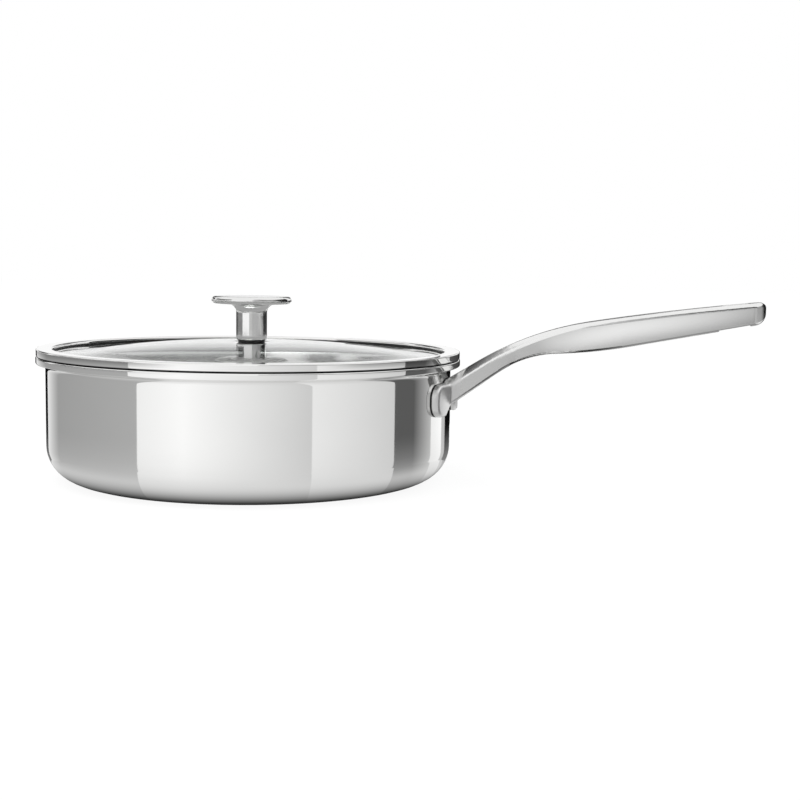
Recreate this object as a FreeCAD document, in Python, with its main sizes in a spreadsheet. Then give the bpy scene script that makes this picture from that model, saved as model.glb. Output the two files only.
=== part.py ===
import FreeCAD, Part
import math
import os
import Sketcher

# Saute pan with glass lid: plies, handle and rivets on one body, the lid pieces on another.
# Lengths in millimetres, the base rests on z = 0, the handle runs along +x.

os.makedirs("parts", exist_ok=True)
doc = FreeCAD.newDocument("saute_pan")
sheet = doc.addObject("Spreadsheet::Sheet", "Sheet")

# Driving sizes of the pan, of the handle and of the lid
driving = {
    "wall_radius": 122.5,
    "corner_radius": 21,
    "steel_ply": 0.5,
    "core_thick": 1.5,
    "lip_top": 73.85,
    "lip_height": 4.15,
    "lip_overhang": 5.6,
    "lip_round": 1,
    "flare_radius": 3.6,
    "lip_land": 1.1,
    "foot_drop": 4.1,
    "foot_height": 19,
    "foot_half": 31,
    "foot_thick": 4.5,
    "foot_corner": 8,
    "foot_edge": 2.2,
    "foot_blend": 2.5,
    "arch_half": 17,
    "arch_rise": 6.5,
    "rivet_offset": 20.2,
    "rivet_radius": 2.5,
    "rivet_head_radius": 5.2,
    "rivet_head_thick": 1.8,
    "rivet_fit": 0.05,
    "bore_depth": 3,
    "bend_out": 48,
    "bend_rise": 31.65,
    "bend_radius": 182,
    "arm_angle": 32.1,
    "grip_angle": 9.7,
    "crest_radius": 1500,
    "belly_out": 46.7,
    "belly_rise": 36.7,
    "belly_radius": 64,
    "arm_under_angle": 35.3,
    "belly_angle": 3.5,
    "sag_out": 86.3,
    "grip_under_angle": 11.4,
    "handle_reach": 181.2,
    "root_half": 16,
    "neck_out": 42.5,
    "neck_half": 7.5,
    "grip_out": 102.5,
    "grip_half": 11.5,
    "grip_taper": 0.8,
    "tip_corner": 7,
    "tip_round": 7,
    "crest_round": 3,
    "root_round": 6.5,
    "under_round": 1.5,
    "slot_inset": 9.7,
    "slot_length": 14,
    "slot_half": 3.5,
    "slot_bevel": 0.8,
    "recess_margin": 1.6,
    "recess_depth": 0.7,
    "cut_through": 10,
    "lid_gap": 0.3,
    "ring_sheet": 0.5,
    "ring_inset": 0.3,
    "ring_round": 0.8,
    "ring_bend": 1.1,
    "ring_step": 2.3,
    "ring_reach": 0.6,
    "seal_thick": 0.25,
    "seal_show": 0.4,
    "skirt_clearance": 0.6,
    "skirt_depth": 4,
    "glass_thick": 3,
    "glass_bite": 1.6,
    "glass_rim": 6,
    "dome_rise": 6.3,
    "glass_hole": 5,
    "gasket_inset": 1.2,
    "gasket_thick": 2.2,
    "seat_margin": 2.6,
    "collar_fit": 0.1,
    "stem_radius": 9.4,
    "stem_round": 1.3,
    "knob_height": 25.6,
    "knob_radius": 24.3,
    "knob_edge": 4.4,
    "knob_cone": 0.9,
    "knob_flare": 5,
    "screw_radius": 3,
    "screw_fit": 0.05,
    "screw_reach": 12,
    "bore_spare": 2,
    "screw_head_radius": 5.5,
    "screw_head_thick": 3.4,
    "pad_radius": 9.4,
    "pad_thick": 1.5,
    "washer_radius": 8.2,
    "washer_thick": 1.2,
}

# Sizes that follow from the driving ones
derived = {
    "base_flat": "wall_radius - corner_radius",
    "lip_radius": "wall_radius + lip_overhang",
    "lip_under": "lip_top - lip_height",
    "flare_start": "lip_under - flare_radius",
    "flare_out": "wall_radius + flare_radius",
    "flare_skin": "flare_radius + steel_ply",
    "lip_flat": "lip_radius - lip_round",
    "lip_low": "lip_under + lip_round",
    "lip_high": "lip_top - lip_round",
    "lip_skin": "lip_round - steel_ply",
    "lip_inside": "lip_radius - steel_ply",
    "lip_top_skin": "lip_top - steel_ply",
    "lip_under_skin": "lip_under + steel_ply",
    "skin_radius": "wall_radius - steel_ply",
    "skin_corner": "corner_radius - steel_ply",
    "core_radius": "skin_radius - core_thick",
    "core_corner": "skin_corner - core_thick",
    "core_floor": "steel_ply + core_thick",
    "mouth_radius": "core_radius - steel_ply",
    "mouth_corner": "core_corner - steel_ply",
    "floor_height": "core_floor + steel_ply",
    "mouth_flat": "lip_flat - lip_land",
    "mouth_round": "mouth_flat - mouth_radius",
    "mouth_low": "lip_top - mouth_round",
    "mouth_skin": "mouth_round - steel_ply",
    "foot_top": "flare_start - foot_drop",
    "foot_bottom": "foot_top - foot_height",
    "foot_outer": "wall_radius + foot_thick",
    "foot_reach": "foot_outer + cut_through",
    "foot_side": "foot_half - foot_corner",
    "foot_low": "foot_bottom + foot_corner",
    "foot_high": "foot_top - foot_corner",
    "arch_radius": "(arch_half ^ 2 + arch_rise ^ 2) / (2 * arch_rise)",
    "arch_crown": "foot_bottom + arch_rise",
    "rivet_height": "(foot_bottom + foot_top) / 2",
    "rivet_angle": "asin(rivet_offset / wall_radius) / 1 deg",
    "rivet_hole": "rivet_radius + rivet_fit",
    "rivet_seat": "sqrt(mouth_radius ^ 2 - rivet_head_radius ^ 2)",
    "rivet_crown": "rivet_seat - rivet_head_thick",
    "rivet_dome": "(rivet_head_radius ^ 2 + rivet_head_thick ^ 2) / (2 * rivet_head_thick)",
    "rivet_end": "wall_radius + bore_depth - rivet_fit",
    "hole_start": "mouth_radius - cut_through",
    "hole_length": "wall_radius + bore_depth - hole_start",
    "root_x": "sqrt(wall_radius ^ 2 - root_half ^ 2) - foot_edge",
    "bend_x": "wall_radius + bend_out",
    "bend_z": "foot_top + bend_rise",
    "belly_x": "wall_radius + belly_out",
    "belly_z": "foot_bottom + belly_rise",
    "sag_x": "wall_radius + sag_out",
    "tip_x": "wall_radius + handle_reach",
    "neck_x": "wall_radius + neck_out",
    "grip_x": "wall_radius + grip_out",
    "bend_reach": "bend_radius * tan((arm_angle - grip_angle) / 2 * 1 deg)",
    "root_top": "bend_z - (bend_x - root_x) * tan(arm_angle * 1 deg)",
    "top_a_x": "bend_x - bend_reach * cos(arm_angle * 1 deg)",
    "top_a_z": "bend_z - bend_reach * sin(arm_angle * 1 deg)",
    "top_b_x": "bend_x + bend_reach * cos(grip_angle * 1 deg)",
    "top_b_z": "bend_z + bend_reach * sin(grip_angle * 1 deg)",
    "tip_tilt": "asin(sin(grip_angle * 1 deg) - (tip_x - top_b_x) / crest_radius) / 1 deg",
    "tip_top": "top_b_z + crest_radius * (cos(tip_tilt * 1 deg) - cos(grip_angle * 1 deg))",
    "root_under": "belly_z - (belly_x - root_x) * tan(arm_under_angle * 1 deg)",
    "belly_reach": "belly_radius * tan((arm_under_angle - belly_angle) / 2 * 1 deg)",
    "low_a_x": "belly_x - belly_reach * cos(arm_under_angle * 1 deg)",
    "low_a_z": "belly_z - belly_reach * sin(arm_under_angle * 1 deg)",
    "low_b_x": "belly_x + belly_reach * cos(belly_angle * 1 deg)",
    "low_b_z": "belly_z + belly_reach * sin(belly_angle * 1 deg)",
    "sag_z": "belly_z + (sag_x - belly_x) * tan(belly_angle * 1 deg)",
    "sag_reach": "(sag_x - low_b_x) / cos(belly_angle * 1 deg)",
    "sag_radius": "sag_reach / tan((grip_under_angle - belly_angle) / 2 * 1 deg)",
    "low_c_x": "sag_x + sag_reach * cos(grip_under_angle * 1 deg)",
    "low_c_z": "sag_z + sag_reach * sin(grip_under_angle * 1 deg)",
    "tip_under": "sag_z + (tip_x - sag_x) * tan(grip_under_angle * 1 deg)",
    "tip_reach": "tip_round * tan((90 - grip_under_angle) / 2 * 1 deg)",
    "tip_a_x": "tip_x - tip_reach * cos(grip_under_angle * 1 deg)",
    "tip_a_z": "tip_under - tip_reach * sin(grip_under_angle * 1 deg)",
    "tip_b_z": "tip_under + tip_reach",
    "plan_high": "tip_top + cut_through",
    "side_width": "2 * (root_half + cut_through)",
    "flare_drop": "root_half - neck_half",
    "neck_sweep": "((neck_x - root_x) ^ 2 + flare_drop ^ 2) / (2 * flare_drop)",
    "swell_x": "(neck_x + grip_x) / 2",
    "swell_half": "(neck_half + grip_half) / 2",
    "swell_sweep": "((grip_x - neck_x) ^ 2 / 4 + (grip_half - neck_half) ^ 2 / 4) / (grip_half - neck_half)",
    "tip_corner_x": "tip_x - tip_corner",
    "tip_half": "grip_half - (tip_corner_x - grip_x) * tan(grip_taper * 1 deg)",
    "tip_nose": "tip_half - tip_corner",
    "slot_end": "tip_x - slot_inset",
    "slot_start": "slot_end - slot_length",
    "recess_a_x": "slot_start - recess_margin",
    "recess_b_x": "slot_end + recess_margin",
    "recess_a_z": "sag_z + (recess_a_x - sag_x) * tan(grip_under_angle * 1 deg) + recess_depth",
    "recess_b_z": "sag_z + (recess_b_x - sag_x) * tan(grip_under_angle * 1 deg) + recess_depth",
    "recess_a_low": "recess_a_z - cut_through",
    "recess_b_low": "recess_b_z - cut_through",
    "slot_a_x": "slot_start + slot_half",
    "slot_b_x": "slot_end - slot_half",
    "ring_bottom": "lip_top + lid_gap",
    "ring_floor": "ring_bottom + ring_sheet",
    "skirt_radius": "mouth_radius - skirt_clearance",
    "skirt_inside": "skirt_radius - ring_sheet",
    "fold_round": "mouth_flat - skirt_radius",
    "fold_skin": "fold_round + ring_sheet",
    "fold_low": "ring_bottom - fold_round",
    "skirt_low": "fold_low - skirt_depth",
    "ring_inner": "skirt_inside - ring_reach",
    "ring_edge": "ring_inner + ring_sheet",
    "glass_radius": "skirt_radius + glass_bite",
    "glass_flat": "glass_radius - glass_rim",
    "seal_radius": "glass_radius + seal_thick",
    "seal_inner": "ring_inner - seal_show",
    "seal_foot": "skirt_inside + seal_show",
    "seat_low": "fold_low + sqrt(fold_skin ^ 2 - (mouth_flat - seal_radius) ^ 2)",
    "glass_under": "seat_low + seal_thick",
    "glass_top": "glass_under + glass_thick",
    "seat_high": "glass_top + seal_thick",
    "ring_top": "seat_high + ring_step",
    "ring_roof": "ring_top - ring_sheet",
    "ring_bend_flat": "ring_inner + ring_bend",
    "ring_bend_low": "ring_top - ring_bend",
    "ring_bend_skin": "ring_bend - ring_sheet",
    "ring_radius": "lip_radius - ring_inset",
    "ring_inside": "ring_radius - ring_sheet",
    "ring_flat": "ring_radius - ring_round",
    "ring_low": "ring_bottom + ring_round",
    "ring_high": "ring_top - ring_round",
    "gasket_radius": "stem_radius - gasket_inset",
    "glass_seat": "stem_radius + seat_margin",
    "crown_top": "glass_top + dome_rise",
    "crown_under": "crown_top - glass_thick",
    "dome_radius": "((glass_flat - glass_seat) ^ 2 + dome_rise ^ 2) / (4 * dome_rise)",
    "dome_mid": "(glass_seat + glass_flat) / 2",
    "dome_mid_top": "glass_top + dome_rise / 2",
    "dome_mid_under": "dome_mid_top - glass_thick",
    "collar_radius": "glass_hole - collar_fit",
    "collar_low": "crown_under + collar_fit",
    "gasket_bore": "screw_radius + collar_fit",
    "knob_base": "crown_top + gasket_thick",
    "stem_foot": "stem_radius - stem_round",
    "stem_low": "knob_base + stem_round",
    "knob_top": "knob_base + knob_height",
    "knob_mid": "knob_top - knob_edge / 2",
    "knob_round": "knob_edge / 2",
    "knob_under": "knob_top - knob_edge",
    "knob_flat": "knob_radius - knob_round",
    "flare_top": "knob_under - knob_cone",
    "flare_low": "flare_top - knob_flare",
    "flare_wide": "stem_radius + knob_flare",
    "screw_bore": "screw_radius + screw_fit",
    "screw_top": "knob_base + screw_reach",
    "bore_top": "screw_top + bore_spare",
    "pad_low": "crown_under - pad_thick",
    "washer_low": "pad_low - washer_thick",
    "head_low": "washer_low - screw_head_thick",
}

for row, (name, value) in enumerate(list(driving.items()) + list(derived.items()), start=1):
    sheet.set(f"A{row}", name)
    sheet.set(f"B{row}", str(value) if name in driving else "=" + value)
    sheet.setAlias(f"B{row}", name)
doc.recompute()


def size(name):
    if name == "zero":
        return 0.0
    sign = -1.0 if name.startswith("-") else 1.0
    found = sheet.get(name.lstrip("-"))
    return sign * float(getattr(found, "Value", found))


def formula(name):
    return "-Sheet." + name[1:] if name.startswith("-") else "Sheet." + name


# Sketches: each corner is a pair of sheet names, a third name is the radius of the arc that follows
# it and a fourth its turn, +1 anticlockwise and -1 clockwise.
def draw_loop(sketch, corners):
    count = len(corners)
    points = [FreeCAD.Vector(size(c[0]), size(c[1]), 0) for c in corners]
    pieces = []
    for i, corner in enumerate(corners):
        start = points[i]
        end = points[(i + 1) % count]
        if len(corner) == 2:
            pieces.append((sketch.addGeometry(Part.LineSegment(start, end)), 1, 2))
            continue
        radius = size(corner[2])
        turn = corner[3]
        chord = end - start
        middle = (start + end) * 0.5
        lift = math.sqrt(max(radius ** 2 - chord.Length ** 2 / 4, 0))
        across = FreeCAD.Vector(-chord.y, chord.x, 0).normalize()
        centre = middle + across * lift * turn
        first, last = (start, end) if turn > 0 else (end, start)
        a = math.atan2(first.y - centre.y, first.x - centre.x)
        b = math.atan2(last.y - centre.y, last.x - centre.x)
        circle = Part.Circle(centre, FreeCAD.Vector(0, 0, 1), radius)
        index = sketch.addGeometry(Part.ArcOfCircle(circle, a, b if b > a else b + 2 * math.pi))
        pieces.append((index, 1, 2) if turn > 0 else (index, 2, 1))
        held = sketch.addConstraint(Sketcher.Constraint("Radius", index, radius))
        sketch.setExpression(f"Constraints[{held}]", formula(corner[2]))
    for i, (index, begin, finish) in enumerate(pieces):
        after = pieces[(i + 1) % count]
        sketch.addConstraint(Sketcher.Constraint("Coincident", index, finish, after[0], after[1]))
        for kind, name, axis in (("DistanceX", corners[i][0], -2), ("DistanceY", corners[i][1], -1)):
            if name == "zero":
                sketch.addConstraint(Sketcher.Constraint("PointOnObject", index, begin, axis))
                continue
            held = sketch.addConstraint(Sketcher.Constraint(kind, -1, 1, index, begin, size(name)))
            sketch.setExpression(f"Constraints[{held}]", formula(name))


def sketch_on(body, role, *loops):
    sketch = body.newObject("Sketcher::SketchObject", body.Name + "_sketch")
    plane = [f for f in body.Origin.OriginFeatures if f.Role == role][0]
    sketch.AttachmentSupport = (plane, "")
    sketch.MapMode = "FlatFace"
    for corners in loops:
        draw_loop(sketch, corners)
    doc.recompute()
    return sketch


def turned(name, corners, axis="V_Axis"):
    body = doc.addObject("PartDesign::Body", name)
    sketch = sketch_on(body, "XZ_Plane", corners)
    turn = body.newObject("PartDesign::Revolution", name + "_turn")
    turn.Profile = sketch
    turn.ReferenceAxis = (sketch, [axis])
    turn.Angle = 360
    body.Tip = turn
    sketch.Visibility = False
    return body


def padded(name, role, length, both, *loops):
    body = doc.addObject("PartDesign::Body", name)
    sketch = sketch_on(body, role, *loops)
    pad = body.newObject("PartDesign::Pad", name + "_pad")
    pad.Profile = sketch
    pad.Midplane = both
    pad.setExpression("Length", length)
    body.Tip = pad
    sketch.Visibility = False
    return body


def joined(kind, name, base, tool):
    result = doc.addObject("Part::" + kind, name)
    result.Base = base
    result.Tool = tool
    doc.recompute()
    return result


def mirrored_pair(name, source):
    mirror = doc.addObject("Part::Mirroring", name + "_mirror")
    mirror.Source = source
    mirror.Normal = (0, 1, 0)
    pair = doc.addObject("Part::Compound", name)
    pair.Links = [source, mirror]
    doc.recompute()
    return pair


# Pan plies: outer steel, aluminium core and steel liner share one section, rolled out into the lip
outer_blank = turned("outer_blank", [
    ("zero", "zero"),
    ("base_flat", "zero", "corner_radius", 1),
    ("wall_radius", "corner_radius"),
    ("wall_radius", "flare_start", "flare_radius", -1),
    ("flare_out", "lip_under"),
    ("lip_flat", "lip_under", "lip_round", 1),
    ("lip_radius", "lip_low"),
    ("lip_radius", "lip_high", "lip_round", 1),
    ("lip_flat", "lip_top"),
    ("lip_flat", "lip_top_skin", "lip_skin", -1),
    ("lip_inside", "lip_high"),
    ("lip_inside", "lip_low", "lip_skin", -1),
    ("lip_flat", "lip_under_skin"),
    ("flare_out", "lip_under_skin", "flare_skin", 1),
    ("skin_radius", "flare_start"),
    ("skin_radius", "corner_radius", "skin_corner", -1),
    ("base_flat", "steel_ply"),
    ("zero", "steel_ply"),
])
core_blank = turned("core_blank", [
    ("zero", "steel_ply"),
    ("base_flat", "steel_ply", "skin_corner", 1),
    ("skin_radius", "corner_radius"),
    ("skin_radius", "flare_start", "flare_skin", -1),
    ("flare_out", "lip_under_skin"),
    ("lip_flat", "lip_under_skin", "lip_skin", 1),
    ("lip_inside", "lip_low"),
    ("lip_inside", "lip_high", "lip_skin", 1),
    ("lip_flat", "lip_top_skin"),
    ("mouth_flat", "lip_top_skin", "mouth_skin", 1),
    ("core_radius", "mouth_low"),
    ("core_radius", "corner_radius", "core_corner", -1),
    ("base_flat", "core_floor"),
    ("zero", "core_floor"),
])
inner_blank = turned("inner_blank", [
    ("zero", "core_floor"),
    ("base_flat", "core_floor", "core_corner", 1),
    ("core_radius", "corner_radius"),
    ("core_radius", "mouth_low", "mouth_skin", -1),
    ("mouth_flat", "lip_top_skin"),
    ("lip_flat", "lip_top_skin"),
    ("lip_flat", "lip_top"),
    ("mouth_flat", "lip_top", "mouth_round", 1),
    ("mouth_radius", "mouth_low"),
    ("mouth_radius", "corner_radius", "mouth_corner", -1),
    ("base_flat", "floor_height"),
    ("zero", "floor_height"),
])

# Handle rivets: one through each foot, domed heads inside the pan, blind ends in the handle
turn_out = FreeCAD.Rotation(FreeCAD.Vector(0, 0, 1), size("rivet_angle"))
rivet = turned("rivet", [
    ("rivet_crown", "zero"),
    ("rivet_end", "zero"),
    ("rivet_end", "rivet_radius"),
    ("rivet_seat", "rivet_radius"),
    ("rivet_seat", "rivet_head_radius", "rivet_dome", 1),
], "H_Axis")
rivet.Placement = FreeCAD.Placement(FreeCAD.Vector(0, 0, size("rivet_height")), turn_out)
rivet.setExpression("Placement.Base.z", "Sheet.rivet_height")
handle_rivets = mirrored_pair("handle_rivets", rivet)

hole = doc.addObject("Part::Cylinder", "rivet_hole_tool")
hole.setExpression("Radius", "Sheet.rivet_hole")
hole.setExpression("Height", "Sheet.hole_length")
lay_down = FreeCAD.Rotation(FreeCAD.Vector(0, 1, 0), 90)
outward = turn_out.multVec(FreeCAD.Vector(size("hole_start"), 0, 0))
hole.Placement = FreeCAD.Placement(outward + FreeCAD.Vector(0, 0, size("rivet_height")), turn_out * lay_down)
rivet_holes = mirrored_pair("rivet_holes", hole)

outer_ply = joined("Cut", "outer_ply", outer_blank, rivet_holes)
core_ply = joined("Cut", "core_ply", core_blank, rivet_holes)
inner_ply = joined("Cut", "inner_ply", inner_blank, rivet_holes)

# Handle arm and grip: side view and plan view padded through each other
side_block = padded("side_block", "XZ_Plane", "Sheet.side_width", True, [
    ("root_x", "root_under"),
    ("low_a_x", "low_a_z", "belly_radius", -1),
    ("low_b_x", "low_b_z", "sag_radius", 1),
    ("low_c_x", "low_c_z"),
    ("tip_a_x", "tip_a_z", "tip_round", 1),
    ("tip_x", "tip_b_z"),
    ("tip_x", "tip_top", "crest_radius", 1),
    ("top_b_x", "top_b_z", "bend_radius", 1),
    ("top_a_x", "top_a_z"),
    ("root_x", "root_top"),
])
plan_block = padded("plan_block", "XY_Plane", "Sheet.plan_high", False, [
    ("root_x", "-root_half", "neck_sweep", -1),
    ("neck_x", "-neck_half", "swell_sweep", -1),
    ("swell_x", "-swell_half", "swell_sweep", 1),
    ("grip_x", "-grip_half"),
    ("tip_corner_x", "-tip_half", "tip_corner", 1),
    ("tip_x", "-tip_nose"),
    ("tip_x", "tip_nose", "tip_corner", 1),
    ("tip_corner_x", "tip_half"),
    ("grip_x", "grip_half", "swell_sweep", 1),
    ("swell_x", "swell_half", "swell_sweep", -1),
    ("neck_x", "neck_half", "neck_sweep", -1),
    ("root_x", "root_half"),
], [
    ("slot_a_x", "-slot_half"),
    ("slot_b_x", "-slot_half", "slot_half", 1),
    ("slot_end", "zero", "slot_half", 1),
    ("slot_b_x", "slot_half"),
    ("slot_a_x", "slot_half", "slot_half", 1),
    ("slot_start", "zero", "slot_half", 1),
])
arm_block = joined("Common", "arm_block", side_block, plan_block)


def facing(shape, edge):
    middle = edge.valueAt((edge.FirstParameter + edge.LastParameter) / 2)
    tilts = []
    for face in shape.ancestorsOfType(edge, Part.Face):
        u, v = face.Surface.parameter(middle)
        tilts.append(face.normalAt(u, v).z)
    return middle, sorted(tilts)


def pick_edges(feature, wanted):
    found = []
    for number, edge in enumerate(feature.Shape.Edges, start=1):
        middle, tilts = facing(feature.Shape, edge)
        if len(tilts) == 2 and wanted(middle, tilts):
            found.append(number)
    return found


def dressed(kind, name, base, amount, wanted):
    result = doc.addObject("Part::" + kind, name)
    result.Base = base
    result.Edges = [(number, amount, amount) for number in pick_edges(base, wanted)]
    doc.recompute()
    return result


def in_slot(point):
    along = size("slot_start") - 0.1 < point.x < size("slot_end") + 0.1
    return along and abs(point.y) < size("slot_half") + 0.1


arm_rounded = dressed(
    "Fillet", "arm_rounded", arm_block, size("under_round"),
    lambda p, n: n[0] < -0.6 and abs(n[1]) < 0.2 and not in_slot(p) and p.x > size("root_x") + 0.1)


# The crest's round grows from the bend towards the root; its two ends follow the way round the tip
def crest_at(x):
    share = (size("top_b_x") - x) / (size("top_b_x") - size("root_x"))
    return size("crest_round") + (size("root_round") - size("crest_round")) * max(share, 0)


arm_crested = doc.addObject("Part::Fillet", "arm_crested")
arm_crested.Base = arm_rounded
crest_edges = []
for number in pick_edges(
        arm_rounded,
        lambda p, n: n[1] > 0.6 and abs(n[0]) < 0.2 and not in_slot(p) and p.x > size("root_x") + 0.1):
    edge = arm_rounded.Shape.Edges[number - 1]
    ends = sorted(vertex.Point.x for vertex in edge.Vertexes)
    if edge.CenterOfMass.y > 0:
        ends.reverse()
    crest_edges.append((number, crest_at(ends[0]), crest_at(ends[1])))
arm_crested.Edges = crest_edges
doc.recompute()
arm_slotted = dressed(
    "Chamfer", "arm_slotted", arm_crested, size("slot_bevel"),
    lambda p, n: in_slot(p) and n[1] > 0.6 and abs(n[0]) < 0.2)
recess = padded("recess", "XZ_Plane", "Sheet.side_width", True, [
    ("recess_a_x", "recess_a_low"),
    ("recess_b_x", "recess_b_low"),
    ("recess_b_x", "recess_b_z"),
    ("recess_a_x", "recess_a_z"),
])
doc.recompute()
arm = joined("Cut", "arm", arm_slotted, recess)

# Foot plate: a strip of the wall's own curve with rounded ends and an arch under the arm
foot_strip = turned("foot_strip", [
    ("wall_radius", "foot_bottom"),
    ("foot_outer", "foot_bottom"),
    ("foot_outer", "foot_top"),
    ("wall_radius", "foot_top"),
])
foot_face = padded("foot_face", "YZ_Plane", "Sheet.foot_reach", False, [
    ("arch_half", "foot_bottom"),
    ("foot_side", "foot_bottom", "foot_corner", 1),
    ("foot_half", "foot_low"),
    ("foot_half", "foot_high", "foot_corner", 1),
    ("foot_side", "foot_top"),
    ("-foot_side", "foot_top", "foot_corner", 1),
    ("-foot_half", "foot_high"),
    ("-foot_half", "foot_low", "foot_corner", 1),
    ("-foot_side", "foot_bottom"),
    ("-arch_half", "foot_bottom", "arch_radius", -1),
])
foot_blank = joined("Common", "foot_blank", foot_strip, foot_face)
foot = doc.addObject("Part::Fillet", "foot")
foot.Base = foot_blank
rim_edges = []
for number, edge in enumerate(foot_blank.Shape.Edges, start=1):
    middle = edge.valueAt((edge.FirstParameter + edge.LastParameter) / 2)
    ends = [math.hypot(v.Point.x, v.Point.y) for v in edge.Vertexes] + [math.hypot(middle.x, middle.y)]
    if min(ends) > size("foot_outer") - 0.01:
        rim_edges.append((number, size("foot_edge"), size("foot_edge")))
foot.Edges = rim_edges
doc.recompute()

handle_joined = joined("Fuse", "handle_joined", arm, foot)


def meets_foot(edge):
    middle = edge.valueAt((edge.FirstParameter + edge.LastParameter) / 2)
    faces = handle_joined.Shape.ancestorsOfType(edge, Part.Face)
    if len(faces) != 2 or abs(math.hypot(middle.x, middle.y) - size("foot_outer")) > 0.02:
        return False
    normals = [face.normalAt(*face.Surface.parameter(middle)) for face in faces]
    return normals[0].dot(normals[1]) < 0.9


handle_blended = doc.addObject("Part::Fillet", "handle_blended")
handle_blended.Base = handle_joined
handle_blended.Edges = [(number, size("foot_blend"), size("foot_blend"))
                        for number, edge in enumerate(handle_joined.Shape.Edges, start=1)
                        if meets_foot(edge)]
doc.recompute()
pan_core = doc.addObject("Part::Cylinder", "pan_core")
pan_core.setExpression("Radius", "Sheet.wall_radius")
pan_core.setExpression("Height", "Sheet.lip_top")
handle_seated = joined("Cut", "handle_seated", handle_blended, pan_core)
handle = joined("Cut", "handle", handle_seated, rivet_holes)

# Lid: folded steel ring, seal, domed glass
lid_ring = turned("lid_ring", [
    ("ring_bend_flat", "ring_top", "ring_bend", 1),
    ("ring_inner", "ring_bend_low"),
    ("ring_inner", "seat_high"),
    ("ring_edge", "seat_high"),
    ("ring_edge", "ring_bend_low", "ring_bend_skin", -1),
    ("ring_bend_flat", "ring_roof"),
    ("ring_inside", "ring_roof"),
    ("ring_inside", "ring_floor"),
    ("mouth_flat", "ring_floor", "fold_skin", 1),
    ("skirt_inside", "fold_low"),
    ("skirt_inside", "skirt_low"),
    ("skirt_radius", "skirt_low"),
    ("skirt_radius", "fold_low", "fold_round", -1),
    ("mouth_flat", "ring_bottom"),
    ("ring_flat", "ring_bottom", "ring_round", 1),
    ("ring_radius", "ring_low"),
    ("ring_radius", "ring_high", "ring_round", 1),
    ("ring_flat", "ring_top"),
])
ring_seal = turned("ring_seal", [
    ("seal_foot", "seat_low"),
    ("seal_radius", "seat_low"),
    ("seal_radius", "seat_high"),
    ("seal_inner", "seat_high"),
    ("seal_inner", "glass_top"),
    ("glass_radius", "glass_top"),
    ("glass_radius", "glass_under"),
    ("seal_foot", "glass_under"),
])
lid_glass = turned("lid_glass", [
    ("glass_hole", "crown_under"),
    ("glass_seat", "crown_under", "dome_radius", -1),
    ("dome_mid", "dome_mid_under", "dome_radius", 1),
    ("glass_flat", "glass_under"),
    ("glass_radius", "glass_under"),
    ("glass_radius", "glass_top"),
    ("glass_flat", "glass_top", "dome_radius", -1),
    ("dome_mid", "dome_mid_top", "dome_radius", 1),
    ("glass_seat", "crown_top"),
    ("glass_hole", "crown_top"),
])

# Knob stack: knob on its gasket, screw drawn up through washer and pad from below
knob = turned("knob", [
    ("screw_bore", "knob_base"),
    ("stem_foot", "knob_base", "stem_round", 1),
    ("stem_radius", "stem_low"),
    ("stem_radius", "flare_low", "knob_flare", -1),
    ("flare_wide", "flare_top"),
    ("knob_flat", "knob_under", "knob_round", 1),
    ("knob_radius", "knob_mid", "knob_round", 1),
    ("knob_flat", "knob_top"),
    ("zero", "knob_top"),
    ("zero", "bore_top"),
    ("screw_bore", "bore_top"),
])
knob_gasket = turned("knob_gasket", [
    ("gasket_bore", "collar_low"),
    ("collar_radius", "collar_low"),
    ("collar_radius", "crown_top"),
    ("gasket_radius", "crown_top"),
    ("gasket_radius", "knob_base"),
    ("gasket_bore", "knob_base"),
])
screw_pad = turned("screw_pad", [
    ("gasket_bore", "pad_low"),
    ("pad_radius", "pad_low"),
    ("pad_radius", "crown_under"),
    ("gasket_bore", "crown_under"),
])
screw_washer = turned("screw_washer", [
    ("gasket_bore", "washer_low"),
    ("washer_radius", "washer_low"),
    ("washer_radius", "pad_low"),
    ("gasket_bore", "pad_low"),
])
knob_screw = turned("knob_screw", [
    ("zero", "head_low"),
    ("screw_head_radius", "head_low"),
    ("screw_head_radius", "washer_low"),
    ("screw_radius", "washer_low"),
    ("screw_radius", "screw_top"),
    ("zero", "screw_top"),
])
doc.recompute()

# Every piece is checked, then written under its own name
pieces = [outer_ply, core_ply, inner_ply, handle, handle_rivets, lid_ring, ring_seal, lid_glass,
          knob, knob_gasket, screw_pad, screw_washer, knob_screw]
for item in doc.Objects:
    bad = [word for word in ("Invalid", "Error") if word in item.State]
    if bad:
        raise RuntimeError(f"{item.Name} is {bad}")
for cut, before in ((outer_ply, outer_blank), (core_ply, core_blank), (inner_ply, inner_blank),
                    (handle, handle_seated)):
    if before.Shape.Volume - cut.Shape.Volume < 10:
        raise RuntimeError(f"{cut.Name} was not drilled")
for piece in pieces:
    piece.Label = piece.Name
    if piece.Shape.isNull() or not piece.Shape.isValid():
        raise RuntimeError(f"{piece.Name} has no sound shape")
    piece.Shape.exportStep(f"parts/{piece.Label}.step")
    box = piece.Shape.BoundBox
    print(piece.Label, len(piece.Shape.Solids), round(piece.Shape.Volume), [
        round(v, 2) for v in (box.XMin, box.XMax, box.YMin, box.YMax, box.ZMin, box.ZMax)])
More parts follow.
